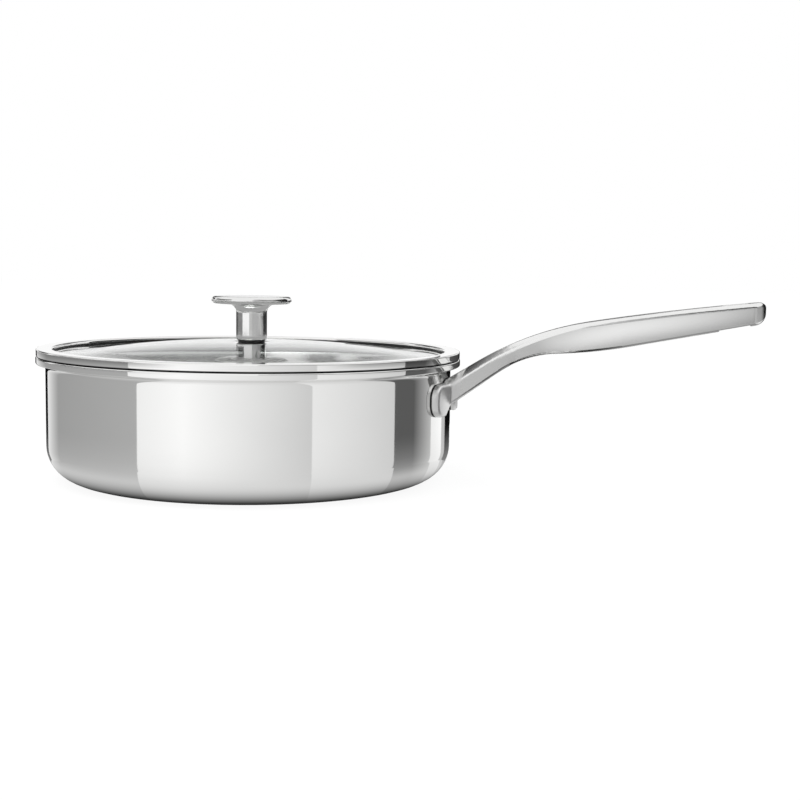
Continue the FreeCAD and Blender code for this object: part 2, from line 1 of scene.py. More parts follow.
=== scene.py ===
import bmesh
import bpy
import numpy as np
from mathutils import Matrix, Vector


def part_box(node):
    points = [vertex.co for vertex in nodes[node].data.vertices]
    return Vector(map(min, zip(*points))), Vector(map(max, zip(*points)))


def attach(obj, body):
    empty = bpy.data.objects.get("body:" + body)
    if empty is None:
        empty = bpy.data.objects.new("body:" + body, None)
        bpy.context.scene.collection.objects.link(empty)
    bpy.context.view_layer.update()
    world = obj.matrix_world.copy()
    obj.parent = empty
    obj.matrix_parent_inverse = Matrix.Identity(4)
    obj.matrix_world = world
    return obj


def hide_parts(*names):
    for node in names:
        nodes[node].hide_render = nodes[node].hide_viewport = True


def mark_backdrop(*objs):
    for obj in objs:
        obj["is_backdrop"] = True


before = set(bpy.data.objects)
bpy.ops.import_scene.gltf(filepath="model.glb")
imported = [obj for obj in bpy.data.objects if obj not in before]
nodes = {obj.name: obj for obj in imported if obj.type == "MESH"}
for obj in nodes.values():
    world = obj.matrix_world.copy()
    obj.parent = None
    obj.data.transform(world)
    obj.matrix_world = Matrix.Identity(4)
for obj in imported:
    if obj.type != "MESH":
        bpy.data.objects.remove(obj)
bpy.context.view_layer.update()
mm = 0.001
upright = np.array([0, 0, 1])


def topOf(node):
    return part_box(node)[1].z


def radiusOf(node):
    return -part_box(node)[0].x


# a path of straight runs in (radius, height): a corner with a third number is cut back by
# round / tan(half its angle) along both runs and bridged by the arc that touches them
def roundedPath(corners, arcPoints=14, closed=False):
    points = np.array([corner[:2] for corner in corners], float)
    rounds = np.array([corner[2] if len(corner) > 2 else 0.0 for corner in corners])
    back = np.roll(points, 1, axis=0) - points
    ahead = np.roll(points, -1, axis=0) - points
    back = back / np.linalg.norm(back, axis=1, keepdims=True)
    ahead = ahead / np.linalg.norm(ahead, axis=1, keepdims=True)
    half = np.arccos(np.clip((back * ahead).sum(1), -1, 1)) / 2
    middle = back + ahead
    middle = middle / np.maximum(np.linalg.norm(middle, axis=1, keepdims=True), 1e-9)
    centre = points + middle * (rounds / np.sin(half))[:, None]
    first = points + back * (rounds / np.tan(half))[:, None] - centre
    last = points + ahead * (rounds / np.tan(half))[:, None] - centre
    begin = np.arctan2(first[:, 1], first[:, 0])
    sweep = np.arctan2(last[:, 1], last[:, 0]) - begin
    sweep = (sweep + np.pi) % (2 * np.pi) - np.pi
    angle = begin[:, None] + sweep[:, None] * np.linspace(0, 1, arcPoints)
    arcs = centre[:, None] + rounds[:, None, None] * np.stack([np.cos(angle), np.sin(angle)], -1)
    bends = [arc if size > 0 else arc[:1] for arc, size in zip(arcs, rounds)]
    return spread(np.concatenate(bends), closed)


# long straight runs get points of their own, so that the shading stays level along them
def spread(path, closed=False, step=2.5 * mm):
    ends = np.roll(path, -1, axis=0) if closed else np.append(path[1:], path[-1:], axis=0)
    counts = np.maximum(np.ceil(np.linalg.norm(ends - path, axis=1) / step).astype(int), 1)
    if not closed:
        counts[-1] = 1
    share = np.concatenate([np.arange(n) / n for n in counts])[:, None]
    return np.repeat(path, counts, axis=0) * (1 - share) + np.repeat(ends, counts, axis=0) * share


# puts a grid of points into a mesh: quads between neighbouring rows and columns, both of which may close;
# points that coincide are welded, and quads that shrink to nothing go
def gridPiece(name, points, closeRows=False, closeColumns=False, weld=1e-7, thin=1e-8):
    rows, columns = points.shape[:2]
    index = np.arange(rows * columns).reshape(rows, columns)
    if closeRows:
        index = np.append(index, index[:1], axis=0)
    if closeColumns:
        index = np.append(index, index[:, :1], axis=1)
    quads = np.stack([index[:-1, :-1], index[1:, :-1], index[1:, 1:], index[:-1, 1:]], -1).reshape(-1, 4)
    mesh = bpy.data.meshes.new(name)
    mesh.from_pydata(points.reshape(-1, 3), [], quads.tolist())
    welded = bmesh.new()
    welded.from_mesh(mesh)
    bmesh.ops.remove_doubles(welded, verts=welded.verts, dist=weld)
    bmesh.ops.dissolve_degenerate(welded, edges=welded.edges, dist=thin)
    bmesh.ops.recalc_face_normals(welded, faces=welded.faces)
    welded.to_mesh(mesh)
    welded.free()
    mesh.polygons.foreach_set("use_smooth", np.ones(len(mesh.polygons), bool))
    piece = bpy.data.objects.new(name, mesh)
    bpy.context.scene.collection.objects.link(piece)
    return piece


# a turned surface: the path's radius r and height z carried round the axis, x = r cos a, y = r sin a
def turnedPiece(name, path, closed=False, segments=320):
    around = np.linspace(0, 2 * np.pi, segments, endpoint=False)
    radius, height = path[:, :1], path[:, 1:]
    points = np.stack([radius * np.cos(around), radius * np.sin(around), height + 0 * around], -1)
    return gridPiece(name, points, closeRows=closed, closeColumns=True)


def settle(piece, body, node, finish):
    piece.data.materials.append(finish)
    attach(piece, body)
    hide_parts(node)
    return piece


# wraps one shader socket, so that sums on sockets are written as plain arithmetic
class Wire:
    def __init__(self, finish, socket):
        self.finish = finish
        self.socket = socket

    def math(self, operation, first, second):
        return self.finish.node("Math", {"operation": operation}, {0: first, 1: second})

    def __add__(self, other):
        return self.math("ADD", self, other)

    def __sub__(self, other):
        return self.math("SUBTRACT", self, other)

    def __mul__(self, other):
        return self.math("MULTIPLY", self, other)

    def __rsub__(self, other):
        return self.math("SUBTRACT", other, self)

    def __pow__(self, other):
        return self.math("POWER", self, other)

    __radd__ = __add__
    __rmul__ = __mul__


# one material: its nodes come from one method, its fixed values are set on the shader's own sockets
class Finish:
    def __init__(self, name, **fixed):
        self.material = bpy.data.materials.new(name)
        self.material.use_nodes = True
        self.tree = self.material.node_tree
        self.shader = self.tree.nodes["Principled BSDF"]
        self.out = self.tree.nodes["Material Output"]
        for socket, value in fixed.items():
            self.shader.inputs[socket.replace("_", " ")].default_value = value

    def plug(self, socket, value):
        if isinstance(value, Wire):
            self.tree.links.new(value.socket, socket)
        else:
            socket.default_value = value

    # makes a node and gives back one output, or a list of them when several are named
    def node(self, kind, settings=None, sockets=None, out=0):
        made = self.tree.nodes.new("ShaderNode" + kind)
        for name, value in (settings or {}).items():
            setattr(made, name, value)
        for name, value in (sockets or {}).items():
            self.plug(made.inputs[name], value)
        if isinstance(out, tuple):
            return [Wire(self, made.outputs[name]) for name in out]
        return Wire(self, made.outputs[out])

    def feed(self, **varying):
        for socket, value in varying.items():
            self.plug(self.shader.inputs[socket.replace("_", " ")], value)
        return self.material

    def surface(self, shader):
        self.plug(self.out.inputs["Surface"], shader)
        return self.material

    def place(self):
        return self.node("TexCoord", out="Object")

    def noise(self, stretch, detail=3, vector=None):
        laid = self.node("Mapping", None, {"Vector": vector or self.place(), "Scale": stretch})
        return self.node("TexNoise", None, {"Vector": laid, "Scale": 1.0, "Detail": detail})

    def between(self, share, low, high):
        return self.node("Mix", {"data_type": "RGBA"}, {0: share, 6: (*low, 1), 7: (*high, 1)}, out=2)

    def shaded(self, share, colour, dark):
        return self.node("Mix", {"data_type": "RGBA"}, {0: share, 6: colour, 7: (*dark, 1)}, out=2)

    # 0 at the first value, 1 at the second, level beyond both
    def ramp(self, value, zero, one):
        return self.node("MapRange", None, {"Value": value, "From Min": zero, "From Max": one})

    def relief(self, height, look):
        return self.node("Bump", None, {"Strength": look["relief"], "Distance": look["reliefDepth"],
                                        "Height": height})

    # distance from the pan's axis, angle round it and height, for patterns that a lathe or a buff leaves
    def polar(self):
        x, y, z = self.node("SeparateXYZ", None, {0: self.place()}, out=("X", "Y", "Z"))
        reach = (x * x + y * y) ** 0.5
        turn = self.node("Math", {"operation": "ARCTAN2"}, {0: y, 1: x})
        return reach, turn, z

    # noise drawn out into rings round the axis, on walls and level faces alike
    def rings(self, look, detail=3):
        reach, turn, z = self.polar()
        laid = {0: reach * look["ringScale"], 1: turn * look["turnScale"], 2: z * look["ringScale"]}
        return self.noise((1, 1, 1), detail, self.node("CombineXYZ", None, laid))


# the pan's sizes, which the handle's finish and the studio's flags follow too
panForm = {
    "wall": 122.5 * mm,
    "corner": 21 * mm,
    "flare": 3.6 * mm,
    "lipHeight": 4.15 * mm,
    "lipRound": 1.0 * mm,
    "landEnd": 127.0 * mm,
    "land": 126.0 * mm,
    "ply": 0.5 * mm,
    "core": 1.5 * mm,
    "nick": 0.05 * mm,
}

# each finish: two colours, noise scales per metre, and how far each noise roughens and lifts the surface
# near-black colour for painted shade: the dark line at the lid band's lower edge and where the handle meets
# the wall
paintedShadeColour = (0.02, 0.02, 0.02)
polishLook = {
    "deep": (0.86, 0.86, 0.855),
    "pale": (0.90, 0.90, 0.89),
    "haze": (22, 22, 30),
    "buffing": (30, 30, 5200),
    "rough": 0.035,
    "hazeRough": 0.03,
    "buffingRough": 0.012,
    "relief": 0.02,
    "reliefDepth": 0.05 * mm,
}


# mirror polish: level colour, faint cloudy haze and hair-fine rings left by the buffing wheel;
# with a shade line given, the edge up to just above that height and outside that radius is painted dark, as
# painted shade
def polishedSteel(name, look, shadeLine=None):
    finish = Finish(name, Metallic=1.0)
    haze = finish.noise(look["haze"], detail=4)
    buffing = finish.noise(look["buffing"], detail=2)
    rough = look["rough"] + haze * look["hazeRough"] + buffing * look["buffingRough"]
    colour = finish.between(haze, look["deep"], look["pale"])
    if shadeLine:
        reach, turn, z = finish.polar()
        # painted shade: the band's lower outer edge is darkened where it sits on the pan's lip
        low = finish.ramp(z, shadeLine["height"] + shadeLine["fade"], shadeLine["height"])
        shadeMask = low * finish.ramp(reach, shadeLine["radius"], shadeLine["radius"] + shadeLine["fade"])
        colour = finish.shaded(shadeMask, colour, paintedShadeColour)
    return finish.feed(Base_Color=colour, Roughness=rough, Normal=finish.relief(buffing, look))


linerLook = {
    "deep": (0.72, 0.72, 0.715),
    "pale": (0.80, 0.80, 0.79),
    "ringScale": 5200,
    "turnScale": 2.0,
    "cloud": (25, 25, 25),
    "ringShare": 0.6,
    "rough": 0.16,
    "ringRough": 0.10,
    "cloudRough": 0.05,
    "relief": 0.06,
    "reliefDepth": 0.1 * mm,
}


# brushed liner: rings round the axis, with soft clouds
def linerSteel(look):
    finish = Finish("linerSteel", Metallic=1.0)
    rings = finish.rings(look)
    cloud = finish.noise(look["cloud"])
    share = rings * look["ringShare"] + cloud * (1 - look["ringShare"])
    rough = look["rough"] + rings * look["ringRough"] + cloud * look["cloudRough"]
    return finish.feed(Base_Color=finish.between(share, look["deep"], look["pale"]), Roughness=rough,
                       Normal=finish.relief(rings, look))


satinLook = {
    "deep": (0.80, 0.80, 0.795),
    "pale": (0.90, 0.90, 0.895),
    "brushing": (70, 2600, 2600),
    "mottle": (60, 60, 60),
    "rough": 0.09,
    "brushingRough": 0.08,
    "mottleRough": 0.05,
    "footRough": 0.24,
    "footEnd": 136 * mm,
    "footFade": 6 * mm,
    # how far out from the wall the painted shade line at the handle's joint reaches
    "creviceReach": 0.9 * mm,
    "relief": 0.05,
    "reliefDepth": 0.1 * mm,
}


# satin casting: brushing along the handle, soft mottling, a duller foot, and a dark line painted where it
# meets the wall, as painted shade of the joint
def satinSteel(look, wall):
    finish = Finish("satinSteel", Metallic=1.0)
    brushing = finish.noise(look["brushing"])
    mottle = finish.noise(look["mottle"], detail=4)
    reach, turn, z = finish.polar()
    foot = finish.ramp(reach, look["footEnd"], look["footEnd"] - look["footFade"])
    rough = look["rough"] + brushing * look["brushingRough"] + mottle * look["mottleRough"]
    rough = rough + foot * look["footRough"]
    bright = finish.between(brushing * 0.5 + mottle * 0.5, look["deep"], look["pale"])
    # painted shade: the handle is darkened close to the wall, where its foot meets it
    jointShade = finish.ramp(reach, wall + look["creviceReach"], wall + look["creviceReach"] / 2)
    return finish.feed(Base_Color=finish.shaded(jointShade, bright, paintedShadeColour), Roughness=rough,
                       Normal=finish.relief(brushing, look))


turnedLook = {
    "deep": (0.76, 0.76, 0.755),
    "pale": (0.86, 0.86, 0.855),
    "ringScale": 4200,
    "turnScale": 1.5,
    "cloud": (90, 90, 90),
    "rough": 0.07,
    "ringRough": 0.07,
    "cloudRough": 0.03,
    "relief": 0.04,
    "reliefDepth": 0.08 * mm,
}


# turned knob: fine lathe rings from the middle outwards, polished over
def turnedSteel(look):
    finish = Finish("turnedSteel", Metallic=1.0)
    rings = finish.rings(look, detail=2)
    cloud = finish.noise(look["cloud"])
    rough = look["rough"] + rings * look["ringRough"] + cloud * look["cloudRough"]
    return finish.feed(Base_Color=finish.between(rings, look["deep"], look["pale"]), Roughness=rough,
                       Normal=finish.relief(rings, look))


# finishes with one even grain: rivets, washer and screw; the core; moulded silicone; worn etching
plainLook = {
    "deep": (0.72, 0.72, 0.715),
    "pale": (0.80, 0.80, 0.79),
    "grain": (900, 900, 900),
    "rough": 0.16,
    "grainRough": 0.12,
}
coreLook = {
    "deep": (0.72, 0.72, 0.73),
    "pale": (0.80, 0.80, 0.81),
    "grain": (300, 300, 2500),
    "rough": 0.32,
    "grainRough": 0.12,
}
sealLook = {
    "deep": (0.012, 0.012, 0.012),
    "pale": (0.03, 0.03, 0.03),
    "grain": (1400, 1400, 1400),
    "rough": 0.45,
    "grainRough": 0.2,
    "relief": 0.1,
    "reliefDepth": 0.1 * mm,
}
markLook = {
    "deep": (0.05, 0.05, 0.05),
    "pale": (0.16, 0.16, 0.16),
    "grain": (700, 700, 700),
    "rough": 0.5,
    "grainRough": 0.2,
}


def grainedFinish(name, look, **fixed):
    finish = Finish(name, **fixed)
    grain = finish.noise(look["grain"])
    if "relief" in look:
        finish.feed(Normal=finish.relief(grain, look))
    return finish.feed(Base_Color=finish.between(grain, look["deep"], look["pale"]),
                       Roughness=look["rough"] + grain * look["grainRough"])


glassLook = {
    "deep": (0.965, 0.985, 0.975),
    "pale": (0.985, 0.995, 0.99),
    "wiping": (14, 60, 14),
    "wipedRough": 0.012,
    "index": 1.5,
}


# clear tempered glass with a trace of wiping marks
def clearGlass(look):
    finish = Finish("clearGlass", Transmission_Weight=1.0, IOR=look["index"])
    wiped = finish.noise(look["wiping"])
    return finish.feed(Base_Color=finish.between(wiped, look["deep"], look["pale"]),
                       Roughness=wiped * look["wipedRough"])


polished = polishedSteel("polishedSteel", polishLook)
liner = linerSteel(linerLook)
satin = satinSteel(satinLook, panForm["wall"])
turnedFinish = turnedSteel(turnedLook)
plain = grainedFinish("plainSteel", plainLook, Metallic=1.0)
seal = grainedFinish("darkSeal", sealLook)
glass = clearGlass(glassLook)
mark = grainedFinish("etchedMark", markLook)
print("finishes made")


# the pan: wall, base corner and rolled lip as one skin, the liner as another
def panSkin(form):
    lip, top = radiusOf("outer_ply"), topOf("outer_ply")
    wall, end = form["wall"], form["landEnd"]
    under = top - form["lipHeight"]
    ply, nick, lipRound = form["ply"], form["nick"], form["lipRound"]
    outside = [(0, 0), (wall, 0, form["corner"]), (wall, under, form["flare"]),
               (lip, under, lipRound), (lip, top, lipRound), (end, top, nick)]
    inside = [(end, top - ply, nick), (lip - ply, top - ply, lipRound - ply),
              (lip - ply, under + ply, lipRound - ply), (wall - ply, under + ply, form["flare"] + ply),
              (wall - ply, ply, form["corner"] - ply), (0, ply)]
    return roundedPath(outside + inside)


def panLiner(form):
    top, ply, nick = topOf("inner_ply"), form["ply"], form["nick"]
    floor = 2 * ply + form["core"]
    mouth = form["wall"] - floor
    bend = form["land"] - mouth
    under = [(0, floor - ply), (mouth + ply, floor - ply, form["corner"] - ply - form["core"]),
             (mouth + ply, top - ply, bend - ply), (form["landEnd"], top - ply, nick)]
    over = [(form["landEnd"], top, nick), (mouth, top, bend),
            (mouth, floor, form["corner"] - floor), (0, floor)]
    return roundedPath(under + over)


settle(turnedPiece("panSkin", panSkin(panForm)), "pan", "outer_ply", polished)
settle(turnedPiece("panLiner", panLiner(panForm), segments=256), "pan", "inner_ply", liner)
print("pan skin and liner turned")

# the lid: steel band folded round the glass, its seal, the domed glass
lidForm = {
    "bandRound": 0.8 * mm,
    "innerRound": 1.1 * mm,
    "bandInner": 118.3 * mm,
    "bandLow": 74.15 * mm,
    "sheet": 0.5 * mm,
    "skirt": 119.4 * mm,
    "fold": 6.6 * mm,
    "nick": 0.1 * mm,
    "sealShow": 0.4 * mm,
    "sealRise": 0.6 * mm,   # dark line that stands above the glass, the band's hem rises with it
    "sealNick": 0.05 * mm,
    "rim": 6 * mm,
    "seat": 12 * mm,
    "hole": 5 * mm,
    "thick": 3 * mm,
    "shoulder": 0.75,       # share of the dome's run that bends down, the rest levels out
}
# height and radius of the painted shade line on the band's lower outer edge, where it sits on the pan's lip
bandShadeLine = {
    "height": lidForm["bandLow"] + 0.35 * mm,
    "radius": 126.4 * mm,
    "fade": 0.35 * mm,
}


def lidBand(form):
    low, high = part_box("lid_ring")
    outer, top = -low.x, high.z
    sheet, nick, inner, skirt = form["sheet"], form["nick"], form["bandInner"], form["skirt"]
    foot, bandRound, innerRound = form["bandLow"], form["bandRound"], form["innerRound"]
    hem = topOf("ring_seal") + form["sealRise"]
    return roundedPath([
        (inner, top, innerRound), (inner, hem, nick), (inner + sheet, hem, nick),
        (inner + sheet, top - sheet, innerRound - sheet), (outer - sheet, top - sheet, bandRound - sheet),
        (outer - sheet, foot + sheet, bandRound - sheet), (skirt - sheet, foot + sheet, form["fold"] + sheet),
        (skirt - sheet, low.z, nick), (skirt, low.z, nick), (skirt, foot, form["fold"]),
        (outer, foot, bandRound), (outer, top, bandRound)], closed=True)


def lidSeal(form):
    low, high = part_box("ring_seal")
    outer, edge, nick = -low.x, radiusOf("lid_glass"), form["sealNick"]
    wall = outer - edge
    foot = form["skirt"] - form["sheet"] + form["sealShow"]
    shown = form["bandInner"] - form["sealShow"]
    back = form["bandInner"] + form["sheet"]
    crest = high.z + form["sealRise"]
    return roundedPath([
        (foot, low.z, nick), (outer, low.z, nick), (outer, high.z, nick), (back, high.z, nick),
        (back, crest, nick), (shown, crest, nick), (shown, high.z - wall, nick), (edge, high.z - wall, nick),
        (edge, low.z + wall, nick), (foot, low.z + wall, nick)], arcPoints=5, closed=True)


# the dome falls from the knob's seat to the flat rim by two arcs that touch, each as long as its share of
# the run: both turn by 2 atan(fall / run), the first bending down and the second levelling out
def lidDome(form, arcPoints=48):
    low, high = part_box("lid_glass")
    edge, crown, thick = -low.x, high.z, form["thick"]
    rimTop = low.z + thick
    flat = edge - form["rim"]
    run, fall = flat - form["seat"], crown - rimTop
    turn = 2 * np.arctan2(fall, run)
    angle = np.linspace(0, turn, arcPoints)
    bend = form["shoulder"] * run / np.sin(turn)
    level = (1 - form["shoulder"]) * run / np.sin(turn)
    upper = np.stack([form["seat"] + bend * np.sin(angle), crown - bend * (1 - np.cos(angle))], -1)
    lower = np.stack([flat - level * np.sin(angle), rimTop + level * (1 - np.cos(angle))], -1)[::-1]
    top = np.concatenate([upper, lower[1:]])
    nick = form["nick"]
    rim = roundedPath([top[-1], (edge, rimTop, nick), (edge, low.z, nick), top[-1] - (0, thick)])
    hole = [(form["hole"], crown - thick), (form["hole"], crown)]
    return np.concatenate([top[:-1], rim[:-1], top[::-1] - (0, thick), hole])


bandFinish = polishedSteel("bandSteel", polishLook, bandShadeLine)
settle(turnedPiece("lidBand", lidBand(lidForm), closed=True), "lid", "lid_ring", bandFinish)
settle(turnedPiece("lidSeal", lidSeal(lidForm), closed=True), "lid", "ring_seal", seal)
settle(turnedPiece("lidDome", lidDome(lidForm), closed=True), "lid", "lid_glass", glass)
print("lid band, seal and glass turned")

# the knob: stem with a skirt that hides part of the gasket, flare, shallow cone and full-round rim
knobForm = {
    "stem": 9.4 * mm,
    "flare": 5 * mm,
    "edge": 4.4 * mm,
    "rimFlat": 0.05 * mm,   # left straight between the rim's two rounds
    "cone": 0.9 * mm,
    "bore": 3.05 * mm,
    "boreDepth": 14 * mm,
    "skirt": 1.0 * mm,
    "skirtFit": 0.1 * mm,
    "gasketBore": 3.1 * mm,
    "gasketRound": 0.3 * mm,
    "collar": 4.9 * mm,
}


def knobTurning(form):
    low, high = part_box("knob")
    under = high.z - form["edge"]
    fit = radiusOf("knob_gasket") + form["skirtFit"]
    foot, bottom = low.z - form["skirt"], low.z + form["boreDepth"]
    return roundedPath([
        (0, bottom), (form["bore"], bottom), (form["bore"], low.z), (fit, low.z), (fit, foot),
        (form["stem"], foot, form["skirt"]), (form["stem"], under - form["cone"], form["flare"]),
        (-low.x, under, form["edge"] / 2), (-low.x, high.z, form["edge"] / 2 - form["rimFlat"]), (0, high.z)])


def gasketTurning(form):
    low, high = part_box("knob_gasket")
    seat = topOf("lid_glass")
    return roundedPath([
        (form["gasketBore"], low.z), (form["collar"], low.z), (form["collar"], seat),
        (-low.x, seat, form["gasketRound"]), (-low.x, high.z, form["gasketRound"]),
        (form["gasketBore"], high.z)], closed=True)


settle(turnedPiece("knobTurning", knobTurning(knobForm), segments=192),
       "lid", "knob", turnedFinish)
settle(turnedPiece("knobGasket", gasketTurning(knobForm), closed=True, segments=128),
       "lid", "knob_gasket", seal)
print("knob turned")

# CAD nodes whose shape is right keep it and take a finish
dressing = {
    "handle": satin,
    "handle_rivets": plain,
    "core_ply": grainedFinish("coreAluminium", coreLook, Metallic=1.0),
    "screw_pad": seal,
    "screw_washer": plain,
    "knob_screw": plain,
}
for node, finish in dressing.items():
    nodes[node].data.materials.clear()
    nodes[node].data.materials.append(finish)
print("CAD nodes dressed:", ", ".join(dressing))

# filling marks on the liner: a tick and a plain number for each half litre
markForm = {
    "litres": (0.5, 1.0, 1.5, 2.0, 2.5),
    "turn": 106.0,          # degrees round from the handle
    "tickLength": 9 * mm,
    "tickHeight": 0.5 * mm,
    "digit": 5 * mm,
    "lift": 0.4 * mm,
    "gap": 1.6 * mm,
    "proud": 0.03 * mm,
}
litre = 0.001
plies = 2 * panForm["ply"] + panForm["core"]
mouth = panForm["wall"] - plies


# height that holds a volume: volume over the floor's area, plus what the rounded corner takes away,
# whose middle lies inset times the corner's radius inside the wall
def fillHeight(litres, inset=0.22):
    corner = panForm["corner"] - plies
    lost = (1 - np.pi / 4) * corner ** 2 * 2 * np.pi * (mouth - inset * corner)
    return plies + (litres * litre + lost) / (np.pi * mouth ** 2)


# wraps flat points (along, up) on the inside of the wall: along becomes an angle, read from inside the pan
def onWall(flat, height, form):
    angle = np.radians(form["turn"]) - flat[..., 0] / mouth
    reach = mouth - form["proud"]
    return np.stack([reach * np.cos(angle), reach * np.sin(angle), height + flat[..., 1]], -1)


def fillMark(litres, form):
    height = fillHeight(litres)
    along = np.linspace(0, form["tickLength"], 9)
    up = np.linspace(0, form["tickHeight"], 2)
    flat = np.stack(np.meshgrid(along, up, indexing="ij"), -1)
    tick = gridPiece("tick", onWall(flat, height, form))
    words = bpy.data.curves.new("number", "FONT")
    words.body = f"{litres:g}"
    words.size = form["digit"]
    number = bpy.data.objects.new("number", words)
    bpy.context.scene.collection.objects.link(number)
    bpy.context.view_layer.update()
    shape = bpy.data.meshes.new_from_object(number.evaluated_get(bpy.context.evaluated_depsgraph_get()))
    bpy.data.objects.remove(number)
    flat = np.empty(len(shape.vertices) * 3)
    shape.vertices.foreach_get("co", flat)
    flat = flat.reshape(-1, 3)[:, :2] + (form["tickLength"] + form["gap"], form["lift"])
    shape.vertices.foreach_set("co", onWall(flat, height, form).ravel())
    digits = bpy.data.objects.new("digits", shape)
    bpy.context.scene.collection.objects.link(digits)
    return [tick, digits]


marks = [piece for litres in markForm["litres"] for piece in fillMark(litres, markForm)]
with bpy.context.temp_override(active_object=marks[0], selected_editable_objects=marks):
    bpy.ops.object.join()
fillMarks = marks[0]
fillMarks.name = "fillMarks"
fillMarks.data.materials.clear()
fillMarks.data.materials.append(mark)
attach(fillMarks, "pan")
print("filling marks laid on the liner")

# the camera stands a little right of the pan's axis, low, with the handle turned towards it
view = {
    "side": 91.66 * mm,
    "away": 805.9 * mm,
    "height": 133.6 * mm,
    "pitch": 6.085,
    "roll": 0.871,
    "handleTurn": 12.2,
    "lens": 59.15,
    "sensor": 36,
    "nearest": 10 * mm,
}


def placeCamera(spec):
    turn = Matrix.Rotation(np.radians(spec["handleTurn"]), 4, "Z")
    stand = Matrix.Translation((spec["side"], -spec["away"], spec["height"]))
    tilt = Matrix.Rotation(np.radians(90 - spec["pitch"]), 4, "X")
    roll = Matrix.Rotation(np.radians(spec["roll"]), 4, "Z")
    camera = bpy.data.objects.new("camera", bpy.data.cameras.new("camera"))
    camera.data.lens = spec["lens"]
    camera.data.sensor_width = spec["sensor"]
    camera.data.clip_start = spec["nearest"]
    camera.matrix_world = turn @ stand @ tilt @ roll
    bpy.context.scene.collection.objects.link(camera)
    bpy.context.scene.camera = camera
    return camera


camera = placeCamera(view)
eye = np.array(camera.matrix_world.translation)
towards = np.arctan2(eye[1], eye[0])
print("camera at", eye.round(4).tolist())

# studio: pale floor, white surround, one soft lamp, and grey flags that only the metal and the glass mirror
floorForm = {
    "radius": 6.0,
    "drop": 0.3 * mm,
    "tone": 0.82,
    "grain": (40, 40, 40),
    "grainTone": 0.01,
    "shine": 1.065,
    "seen": 0.86,           # share that shines to the camera, in the metal and through the glass
    "mirrored": 0.1,
    "through": 0.6,
}


# floor: white to the camera and in the metal, with part of the light left to keep the shadow
def paleFloor(form):
    around = np.linspace(0, 2 * np.pi, 96, endpoint=False)
    reach = np.linspace(0, 1, 24)[:, None] ** 2 * form["radius"]
    points = np.stack([reach * np.cos(around), reach * np.sin(around), 0 * reach * around - form["drop"]], -1)
    floor = gridPiece("floor", points, closeColumns=True)
    finish = Finish("paleFloor")
    camera, glossy, passed = finish.node(
        "LightPath", out=("Is Camera Ray", "Is Glossy Ray", "Is Transmission Ray"))
    share = camera * form["seen"] + glossy * form["mirrored"] + passed * form["through"]
    deep, pale = form["tone"] - form["grainTone"], form["tone"] + form["grainTone"]
    colour = finish.between(finish.noise(form["grain"]), (deep,) * 3, (pale,) * 3)
    matt = finish.node("BsdfDiffuse", None, {"Color": colour})
    glow = finish.node("Emission", None, {"Color": (1, 1, 1, 1), "Strength": form["shine"]})
    floor.data.materials.append(finish.surface(finish.node("MixShader", None, {0: share, 1: matt, 2: glow})))
    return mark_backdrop(floor)


lampForm = {
    "size": 1.6,
    "power": 14.0,
    "place": (-0.3, -0.5, 1.7),
    "tilt": 17,
}


def softLamp(form):
    data = bpy.data.lights.new("softLamp", "AREA")
    data.shape = "DISK"
    data.size = form["size"]
    data.energy = form["power"]
    lamp = bpy.data.objects.new("softLamp", data)
    lamp.matrix_world = Matrix.Translation(form["place"]) @ Matrix.Rotation(np.radians(form["tilt"]), 4, "X")
    lamp.visible_glossy = False
    bpy.context.scene.collection.objects.link(lamp)


# surround: white where it is seen, softer where it only lights
def surround(seen=1.0, lighting=0.75):
    world = bpy.data.worlds.new("surround")
    world.use_nodes = True
    bpy.context.scene.world = world
    tree = world.node_tree
    rays = tree.nodes.new("ShaderNodeLightPath")
    shade = tree.nodes["Background"]
    shade.inputs["Color"].default_value = (1, 1, 1, 1)
    lit = tree.nodes.new("ShaderNodeMapRange")
    lit.inputs["To Min"].default_value = seen
    lit.inputs["To Max"].default_value = lighting
    tree.links.new(rays.outputs["Is Diffuse Ray"], lit.inputs["Value"])
    tree.links.new(lit.outputs["Result"], shade.inputs["Strength"])


# flags share one glowing finish, whose strength is the tone kept at each point; their backs are clear
def flagGlow():
    finish = Finish("flagGlow")
    tone = finish.node("Attribute", {"attribute_name": "tone"}, out="Fac")
    glow = finish.node("Emission", None, {"Color": tone, "Strength": 1.0})
    clear = finish.node("BsdfTransparent")
    behind = finish.node("NewGeometry", out="Backfacing")
    return finish.surface(finish.node("MixShader", None, {0: behind, 1: glow, 2: clear}))


flagFinish = flagGlow()
panMiddle = (0, 0, 0.06)
handleMiddle = (0.22, 0, 0.09)


# a flag's tone is one value, a grid, or a function of the two numbers that place a point on it
def flag(name, points, tone, place=(), faces=panMiddle):
    piece = gridPiece(name, points)
    outward = np.mean([face.normal for face in piece.data.polygons], axis=0)
    if outward @ (np.array(faces) - points.reshape(-1, 3).mean(0)) < 0:
        piece.data.flip_normals()
    tones = tone(*place) if callable(tone) else tone
    layer = piece.data.attributes.new("tone", "FLOAT", "POINT")
    layer.data.foreach_set("value", np.broadcast_to(tones, points.shape[:2]).astype(np.float32).ravel())
    piece.data.materials.append(flagFinish)
    piece.visible_camera = False
    piece.visible_diffuse = False
    piece.visible_shadow = False
    piece.visible_transmission = False
    piece.visible_volume_scatter = False
    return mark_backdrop(piece)


# 0 at the first end, 1 at the second, with a smooth start and stop
def eased(value, ends):
    share = np.clip((value - ends[0]) / (ends[1] - ends[0]), 0, 1)
    return share * share * (3 - 2 * share)


# level directions at angles, in degrees, from the camera's side
def outwards(turn):
    angle = np.radians(turn) + towards
    return np.stack([np.cos(angle), np.sin(angle), 0 * angle], -1)


# the way a look from the eye to a point goes on after it is mirrored there: ray = v - 2 (v.n) n
def mirrored(point, normal):
    look = point - eye
    look = look / np.linalg.norm(look, axis=-1, keepdims=True)
    return look - 2 * np.minimum((look * normal).sum(-1, keepdims=True), 0) * normal


